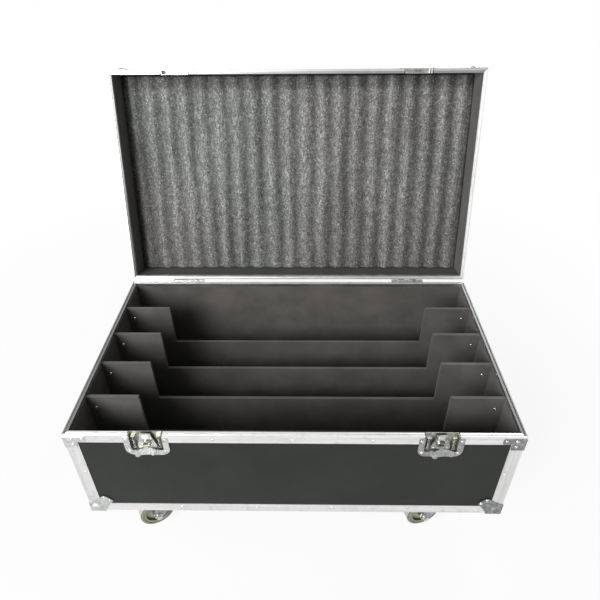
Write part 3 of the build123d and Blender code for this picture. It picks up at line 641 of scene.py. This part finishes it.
def rim_heads(bm, frame_matrix, edge_z, down):
    """Rivets along the outer leg of the rim extrusions, clear of the latches, hinges and braces."""
    z = edge_z + down * 18 * MM
    spots = []
    for x in (-200 * MM, 0, 200 * MM):
        spots += [((x, side * half_width, z), (0, side, 0)) for side in SIDES]
    for y in (-150 * MM, 0, 150 * MM):
        spots += [((side * half_length, y, z), (side, 0, 0)) for side in SIDES]
    for spot, normal in spots:
        rivet(bm, frame_matrix @ facing(spot, normal), *RIM_RIVET)


def dish_heads(bm, frame_matrix, edge_z, down, spots):
    """Rivets in the flanges of the latch dishes, at (off the latch's middle, off the joint) places."""
    sheet = 1.2 * MM
    for x in (-latch_x, latch_x):
        for along, drop in spots:
            for side in SIDES:
                spot = (x + side * along, -half_width - sheet, edge_z + down * drop)
                rivet(bm, frame_matrix @ facing(spot, (0, -1, 0)), *LATCH_RIVET)


def handle_dish_heads(bm):
    """Six rivets in the flange of each handle dish."""
    sunk = 0.3 * MM
    for side in SIDES:
        for y in (-72 * MM, 72 * MM):
            for rise in (124 * MM, 160 * MM, 196 * MM):
                spot = (side * (half_length - sunk), y, base_z + rise)
                rivet(bm, facing(spot, (side, 0, 0)), *PLATE_RIVET)


def hinge_heads(bm, frame_matrix, up):
    """Six rivets on each hinge leaf, over (1) or under (-1) the joint."""
    sheet = 2 * MM
    for x in (-hinge_x, hinge_x):
        for along in (-38 * MM, 0, 38 * MM):
            for rise in (19 * MM, 47 * MM):
                spot = (x + along, half_width + sheet, rim_z + up * rise)
                rivet(bm, frame_matrix @ facing(spot, (0, 1, 0)), *PLATE_RIVET)


base_heads = bmesh.new()
corner_heads(base_heads, BASE, base_z, 1)
brace_heads(base_heads, BASE, rim_z, -1)
edge_heads(base_heads, BASE, base_z, 1, rim_z - base_z)
rim_heads(base_heads, BASE, rim_z, -1)
dish_heads(base_heads, BASE, rim_z, -1, ((49.5 * MM, 17.5 * MM), (45.5 * MM, 61 * MM)))
handle_dish_heads(base_heads)
hinge_heads(base_heads, BASE, -1)
piece("base_rivets", base_heads, RIVET, "base")

lid_heads = bmesh.new()
corner_heads(lid_heads, LID, lid_top_z, -1)
brace_heads(lid_heads, LID, lid_low_z, 1)
edge_heads(lid_heads, LID, lid_top_z, -1, lid_height)
rim_heads(lid_heads, LID, lid_low_z, 1)
dish_heads(lid_heads, LID, lid_low_z, 1, ((49.5 * MM, 17.5 * MM), (20 * MM, 39 * MM)))
hinge_heads(lid_heads, LID, 1)
piece("lid_rivets", lid_heads, RIVET, "lid")

bracket_heads = bmesh.new()
from_end, from_top = 20 * MM, 40 * MM
for number in range(1, 5):
    low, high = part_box(f"divider_{number}")
    for side in SIDES:
        spot = (side * (high.x - from_end), low.y, high.z - from_top)
        rivet(bracket_heads, facing(spot, (0, -1, 0)), *BRACKET_RIVET)
piece("divider_rivets", bracket_heads, RIVET, "base")

plate_bolts = bmesh.new()
bolt_x, bolt_y, plate_thick = 40 * MM, 30 * MM, 3 * MM
for x, y in MIRRORS:
    for a, b in MIRRORS:
        spot = (x * caster_x + a * bolt_x, y * caster_y + b * bolt_y, base_z - plate_thick)
        hex_bolt(plate_bolts, facing(spot, (0, 0, -1)))
piece("caster_plate_bolts", plate_bolts, ZINC, "base", smooth_angle=25)


# Lid foam, ribbed along the lid's depth and drawn for the shut lid

pad_x, pad_y, pad_thick = 561.6 * MM, 322.6 * MM, 22.8 * MM
rib_count, rib_depth = 20, 8.5 * MM
rib_pitch = 2 * pad_x / rib_count
edge_roll = 4 * MM
# The band along the lid's front wall that carries a painted shadow, and how far that shadow fades
dark_band, dark_fade = 34 * MM, 16 * MM
pad_back_z = lid_top_z - 11 * MM
glue_gap = 0.2 * MM


def foam_height(x, y):
    """Height of the ribbed face over the pad's back, and how near a rib's crest the point is."""
    wander = 0.1 * noise.noise(Vector((x * 8, y * 6, 4.0)))
    wander += 0.1 * noise.noise(Vector((x * 3, y * 1.5, 8.0)))
    phase = (x + pad_x) / rib_pitch
    depth = rib_depth * (0.85 + 0.6 * noise.noise(Vector((x * 12, y * 2.2, 1.0))))
    rib = 0.5 - 0.5 * math.cos(2 * math.pi * (phase + wander * min(1.0, phase, rib_count - phase)))
    crease = noise.noise(Vector((x * 60, y * 22, 9.0))) * 0.7 * MM
    fine = noise.noise(Vector((x * 150, y * 110, 2.0))) * 0.5 * MM
    edge = min(pad_x - abs(x), pad_y - abs(y))
    roll = min(1.0, max(0.0, edge / edge_roll))
    rounded = math.sqrt(max(0.0, 1 - (1 - roll) ** 2))
    return (pad_thick - (1 - rib) * depth + crease + fine) * (0.75 + 0.25 * rounded), rib


def foam_face(bm, columns, rows):
    """The ribbed face as rows of vertices, with the attributes that its material reads."""
    crest = bm.verts.layers.float.new("crest")
    shade = bm.verts.layers.float.new("shade")
    face = []
    for m in range(rows + 1):
        y = -pad_y + 2 * pad_y * m / rows
        row = []
        for n in range(columns + 1):
            x = -pad_x + 2 * pad_x * n / columns
            height, share = foam_height(x, y)
            vert = bm.verts.new(LID @ Vector((x, y, pad_back_z - height)))
            vert[crest] = share
            vert[shade] = min(1.0, max(0.0, (y + pad_y - dark_band) / dark_fade))
            row.append(vert)
        face.append(row)
    for low, high in zip(face, face[1:]):
        for n in range(columns):
            bm.faces.new((low[n], high[n], high[n + 1], low[n + 1]))
    return face


def foam_pad(columns_per_rib=18, rows=200):
    """A closed pad on the lid's ceiling, turned open with the lid."""
    bm = bmesh.new()
    columns = rib_count * columns_per_rib
    face = foam_face(bm, columns, rows)
    border = (
        [face[0][n] for n in range(columns)]
        + [row[-1] for row in face[:-1]]
        + [face[-1][n] for n in range(columns, 0, -1)]
        + [row[0] for row in face[:0:-1]]
    )
    back = []
    for v in border:
        shut = LID.inverted() @ v.co
        back.append(bm.verts.new(LID @ Vector((shut.x, shut.y, pad_back_z - glue_gap))))
    for n in range(len(border)):
        m = (n + 1) % len(border)
        bm.faces.new((border[n], border[m], back[m], back[n]))
    bm.faces.new(list(reversed(back)))
    bmesh.ops.recalc_face_normals(bm, faces=bm.faces)
    made = piece("foam_pad", bm, FOAM, "lid", smooth_angle=70)
    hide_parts("lid_foam_pad")


foam_pad()


# Springs of the end handles, and the coil that the latches use too


def coil(name, place, radius, wire, turns, pitch, material, tail=0.0):
    """A spring that is fixed to the base, wound about Z, as a mesh tube."""
    curve = bpy.data.curves.new(name, "CURVE")
    curve.dimensions = "3D"
    curve.bevel_depth = wire
    curve.bevel_resolution = 3
    curve.use_fill_caps = True
    per_turn = 16
    points = []
    for n in range(int(turns * per_turn) + 1):
        turn = 2 * math.pi * n / per_turn
        points.append(Vector((radius * math.cos(turn), radius * math.sin(turn), pitch * n / per_turn)))
    # The tail goes straight on from the last point, along the wire
    if tail:
        points.append(points[-1] + Vector((-math.sin(turn), math.cos(turn), 0)) * tail)
    spline = curve.splines.new("POLY")
    spline.points.add(len(points) - 1)
    for target, point in zip(spline.points, points):
        target.co = (*(place @ point), 1)
    holder = bpy.data.objects.new(name + "_curve", curve)
    bpy.context.scene.collection.objects.link(holder)
    bpy.context.view_layer.update()
    mesh = bpy.data.meshes.new_from_object(holder.evaluated_get(bpy.context.evaluated_depsgraph_get()))
    bpy.data.objects.remove(holder)
    bm = bmesh.new()
    bm.from_mesh(mesh)
    piece(name, bm, material, "base", smooth_angle=60)


spring_end_y = 53.5 * MM
handle_spring = {"radius": 4.4 * MM, "wire": 0.8 * MM, "turns": 4.5, "pitch": 1.9 * MM, "tail": 5 * MM}
for side in ("left", "right"):
    pivot = Vector(joint(f"handle_lift_{side}")["pos_m"])
    for end, toward in (("front", -1), ("back", 1)):
        start = facing(pivot + Vector((0, toward * spring_end_y, 0)), (0, -toward, 0))
        coil(f"handle_spring_{side}_{end}", start, material=ZINC, **handle_spring)


# Springs, spring seats and pressed beads of the latches

# Springs stand off the latch's middle, in the well, and end so far under the joint of lid and base
well_depth = 12.5 * MM
spring_x, spring_in, spring_top, spring_low = 32 * MM, 6.8 * MM, 11 * MM, 48 * MM
latch_turns = 10
latch_spring = {"radius": 3.9 * MM, "wire": 0.85 * MM, "turns": latch_turns}
latch_spring["pitch"] = (spring_low - spring_top) / latch_turns
seat_past_spring = 1 * MM
hook_face, bead_drops, bead_size = 4.5 * MM, (8.5 * MM, 13 * MM, 17.5 * MM), (9.5 * MM, 1.1 * MM, 0.7 * MM)
hook_rivet_x, hook_rivet_drop = 17 * MM, 47 * MM


def bead(bm, place, reach, wide, height, steps=14, sides=8):
    """A rounded bar pressed out of a sheet, along X on the sheet's face."""
    sunk = 0.05 * MM
    rows = []
    for n in range(steps + 1):
        along = -math.cos(math.pi * n / steps)
        swell = math.sqrt(max(0.0, 1 - abs(along) ** 8))
        row = []
        for m in range(sides + 1):
            turn = math.pi * m / sides
            y, z = wide * swell * math.cos(turn), height * swell * math.sin(turn) - sunk
            row.append(bm.verts.new(place @ Vector((reach * along, y, z))))
        rows.append(row)
    for low, high in zip(rows, rows[1:]):
        for m in range(sides):
            bm.faces.new((low[m], high[m], high[m + 1], low[m + 1]))
        bm.faces.new((low[sides], high[sides], high[0], low[0]))
    bmesh.ops.remove_doubles(bm, verts=bm.verts, dist=WELD)
    bmesh.ops.recalc_face_normals(bm, faces=bm.faces)


def sheet_tab(bm, place, outline, thick):
    """A flat plate with an outline of (x, y) points, with its edges broken."""
    inset = 0.25 * MM
    xs, ys = zip(*outline)
    middle = Vector((sum(xs) / len(outline), sum(ys) / len(outline)))
    rings = []
    for height, shrink in ((0, inset), (inset, 0), (thick - inset, 0), (thick, inset)):
        ring = []
        for spot in outline:
            point = Vector(spot)
            point -= (point - middle).normalized() * shrink
            ring.append(bm.verts.new(place @ Vector((point.x, point.y, height))))
        rings.append(ring)
    for low, high in zip(rings, rings[1:]):
        for n in range(len(outline)):
            m = (n + 1) % len(outline)
            bm.faces.new((low[n], low[m], high[m], high[n]))
    bm.faces.new(list(reversed(rings[0])))
    bm.faces.new(rings[-1])


def round_ended(half_wide, reach, radius, steps=6):
    """Outline of a tab that stands out along Y from zero, with two rounded corners."""
    points = [(half_wide, 0)]
    for centre, start in ((half_wide - radius, 0), (radius - half_wide, 90)):
        for n in range(steps + 1):
            turn = math.radians(start + 90 * n / steps)
            points.append((centre + radius * math.cos(turn), reach - radius + radius * math.sin(turn)))
    return points + [(-half_wide, 0)]


def spring_seat(bm, x, z, upward):
    """A tab on the well's back and the pin on it that holds one end of a spring."""
    across, out = Vector((upward, 0, 0)), Vector((0, -1, 0))
    turn = Matrix((across, out, across.cross(out))).transposed().to_4x4()
    tab_place = Matrix.Translation((x, -half_width + well_depth, z)) @ turn
    sheet_tab(bm, tab_place, round_ended(5.5 * MM, well_depth - 1.8 * MM, 2.5 * MM), 1.4 * MM)
    foot, wide, narrow, shoulder, top = -0.2 * MM, 2.4 * MM, 1.6 * MM, 4.5 * MM, 5.6 * MM
    pin_place = facing((x, -half_width + spring_in, z), (0, 0, upward))
    profile = [(0, foot), (wide, foot), (wide, shoulder), (narrow, top), (0, top)]
    lathe(bm, pin_place, profile, sides=14)


def hook_beads(x):
    """Three beads and two small rivets on the face of a hook."""
    bm = bmesh.new()
    for drop in bead_drops:
        place = facing((x, -half_width + hook_face, rim_z - drop), (0, -1, 0))
        bead(bm, place, *bead_size)
    for along in (-hook_rivet_x, hook_rivet_x):
        place = facing((x + along, -half_width + hook_face, rim_z - hook_rivet_drop), (0, -1, 0))
        rivet(bm, place, *HOOK_RIVET)
    return bm


for side, x in (("left", -latch_x), ("right", latch_x)):
    tabs = bmesh.new()
    for toward in SIDES:
        spring = x + toward * spring_x
        foot = Matrix.Translation((spring, -half_width + spring_in, rim_z - spring_low))
        which = "inner" if toward * x < 0 else "outer"
        coil(f"latch_spring_{side}_{which}", foot, material=SPRING, **latch_spring)
        spring_seat(tabs, spring, rim_z - spring_low - seat_past_spring, 1)
        spring_seat(tabs, spring, rim_z - spring_top + seat_past_spring, -1)
    bmesh.ops.recalc_face_normals(tabs, faces=tabs.faces)
    piece(f"latch_spring_tabs_{side}", tabs, HOOK, "base", smooth_angle=40)
    piece(f"latch_hook_beads_{side}", hook_beads(x), BEAD, f"hook_{side}", smooth_angle=40)


# Floor, light and camera


def seen_directly(tree):
    """One for rays of the camera, of reflections and of glass, and zero for the rest."""
    paths = tree.nodes.new("ShaderNodeLightPath")
    found = paths.outputs["Is Camera Ray"]
    for ray in ("Is Glossy Ray", "Is Transmission Ray"):
        either = tree.nodes.new("ShaderNodeMath")
        either.operation = "MAXIMUM"
        tree.links.new(found, either.inputs[0])
        tree.links.new(paths.outputs[ray], either.inputs[1])
        found = either.outputs[0]
    return found


def white_floor():
    """A white floor that keeps a faint shadow."""
    bm = bmesh.new()
    bmesh.ops.create_circle(bm, cap_ends=True, segments=96, radius=40)
    mesh = bpy.data.meshes.new("floor")
    bm.to_mesh(mesh)
    bm.free()
    floor = bpy.data.objects.new("floor", mesh)
    bpy.context.scene.collection.objects.link(floor)
    look = Look("floor", Base_Color=(0.9, 0.9, 0.9, 1), Roughness=0.9, Specular_IOR_Level=0.0)
    tree = look.tree
    white = look.node("ShaderNodeEmission", {"Color": (1, 1, 1, 1), "Strength": 1.0})
    # The lamps give an eighth of the floor's light near the case, and far from it only even white is left
    near, far, white_near = 0.8, 2.4, 0.88
    away = look.node("ShaderNodeVectorMath", {0: look.place()}, operation="LENGTH").outputs["Value"]
    share = look.math("MULTIPLY", seen_directly(tree), look.spread(away, white_near, 1.0, near, far))
    # Reflections show the same white, with more of the lit floor in it
    reflected = look.node("ShaderNodeLightPath").outputs["Is Glossy Ray"]
    share = look.math("MULTIPLY", share, look.spread(reflected, 1.0, 0.6))
    mixed = look.node("ShaderNodeMixShader", {0: share, 1: look.shader.outputs[0], 2: white.outputs[0]})
    tree.links.new(mixed.outputs[0], tree.nodes["Material Output"].inputs["Surface"])
    mesh.materials.append(look.material)
    floor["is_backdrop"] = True


def surround():
    """A world that lights the object weakly, and is white only where it is seen."""
    world = bpy.data.worlds.new("surround")
    bpy.context.scene.world = world
    world.use_nodes = True
    nodes, links = world.node_tree.nodes, world.node_tree.links
    level = nodes.new("ShaderNodeMapRange")
    links.new(seen_directly(world.node_tree), level.inputs["Value"])
    level.inputs["To Min"].default_value = 0.17
    level.inputs["To Max"].default_value = 1.0
    nodes["Background"].inputs["Color"].default_value = (1, 1, 1, 1)
    links.new(level.outputs[0], nodes["Background"].inputs["Strength"])


def softbox(name, spot, aim, size, power):
    """A rectangular lamp at a spot, turned to its aim."""
    light = bpy.data.lights.new(name, "AREA")
    light.shape = "RECTANGLE"
    light.size, light.size_y = size
    light.energy = power
    lamp = bpy.data.objects.new(name, light)
    bpy.context.scene.collection.objects.link(lamp)
    lamp.location = spot
    lamp.rotation_mode = "QUATERNION"
    lamp.rotation_quaternion = (Vector(aim) - Vector(spot)).to_track_quat("-Z", "Y")


def camera():
    """The photograph's own view: a 600 px square frame, fitted to the case's edges."""
    spot = Vector((38.7, -1190.0, 1498.0)) * MM
    yaw, pitch, roll = (math.radians(a) for a in (1.184, 36.277, -0.618))
    focal_px, frame_px = 530.56, 600
    ahead = Vector((-math.sin(yaw) * math.cos(pitch), math.cos(yaw) * math.cos(pitch), -math.sin(pitch)))
    right = Vector((math.cos(yaw), math.sin(yaw), 0))
    up = right.cross(ahead)
    across = math.cos(roll) * right + math.sin(roll) * up
    upright = -math.sin(roll) * right + math.cos(roll) * up
    data = bpy.data.cameras.new("camera")
    data.sensor_width = 36
    data.lens = data.sensor_width * focal_px / frame_px
    data.clip_end = 100
    made = bpy.data.objects.new("camera", data)
    bpy.context.scene.collection.objects.link(made)
    turn = Matrix((across, upright, -ahead)).transposed().to_4x4()
    made.matrix_world = Matrix.Translation(spot) @ turn
    bpy.context.scene.camera = made


white_floor()
surround()
softbox("key", (-2.4, -3.2, 2.3), (0, 0, 0.4), (2.5, 2.4), 240)
softbox("fill", (2.4, 2.8, 2.2), (0, 0, 0.5), (2.4, 2.0), 70)
camera()
bpy.context.scene.view_settings.view_transform = "Standard"

low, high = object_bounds()
